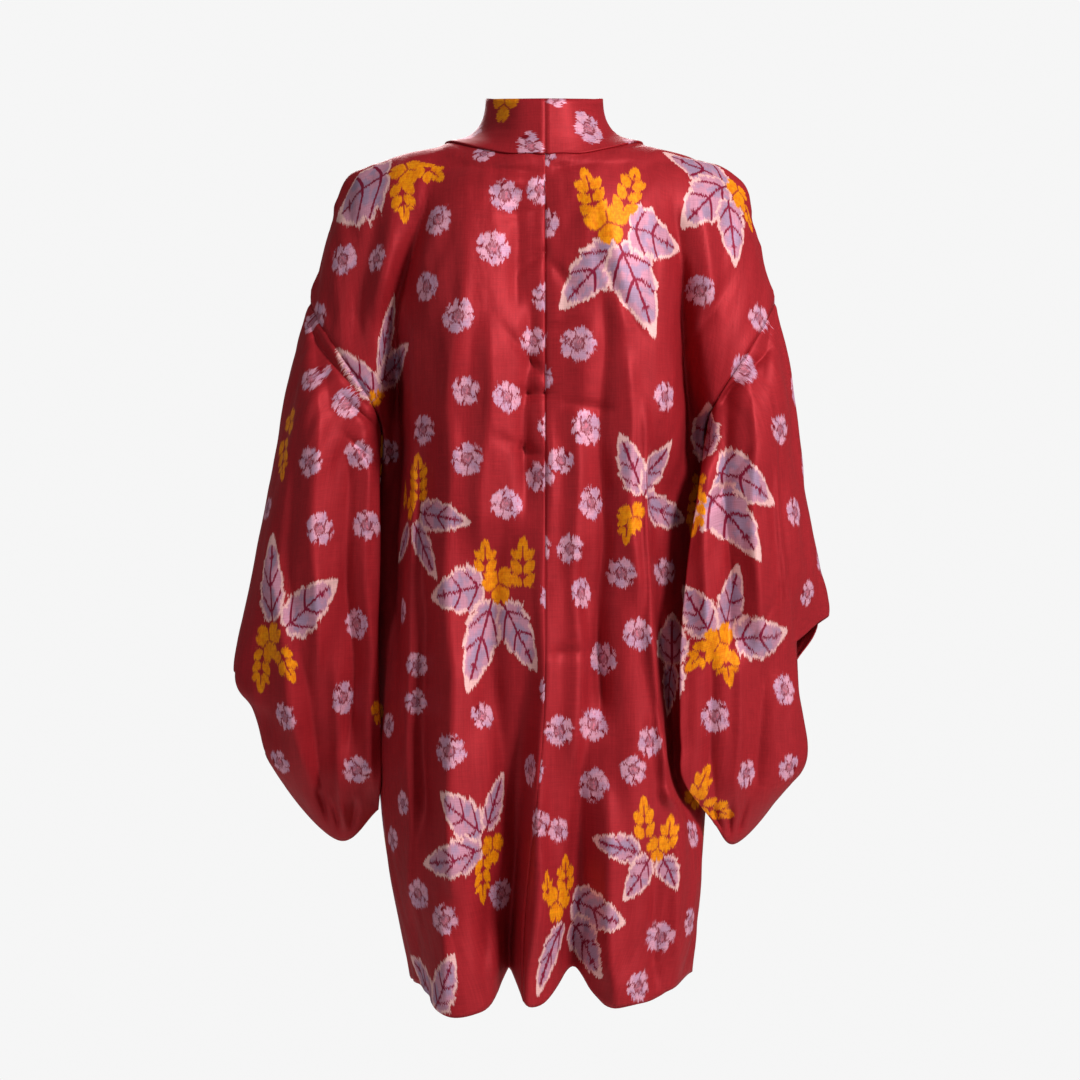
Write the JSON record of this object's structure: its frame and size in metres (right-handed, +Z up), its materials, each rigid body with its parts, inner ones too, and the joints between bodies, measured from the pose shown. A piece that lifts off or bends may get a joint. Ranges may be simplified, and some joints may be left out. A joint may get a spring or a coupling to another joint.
{
  "type": "haori kimono jacket",
  "caption": "Hip-length silk kimono jacket in its worn, hollow form, with a standing collar band, pouch sleeves and open fronts.",
  "frame": {"origin": "in the neck opening on the centreline, level with the sides of the neck seam, where the wearer holds the garment up", "axes": "+Z up, -Y to the wearer's front, +X to the wearer's left"},
  "size_m": [0.552, 0.3002, 0.8128],
  "materials": {
    "silk": "lustrous silk with feathered resist-dyed flowers",
    "collar_silk": "the same lustrous silk, folded double"
  },
  "bodies": {
    "root": {"body_left": "silk", "body_right": "silk", "side_gusset_left": "silk", "side_gusset_right": "silk", "sleeve_left": "silk", "sleeve_right": "silk", "collar_left": "collar_silk", "collar_right": "collar_silk"}
  },
  "joints": []
}
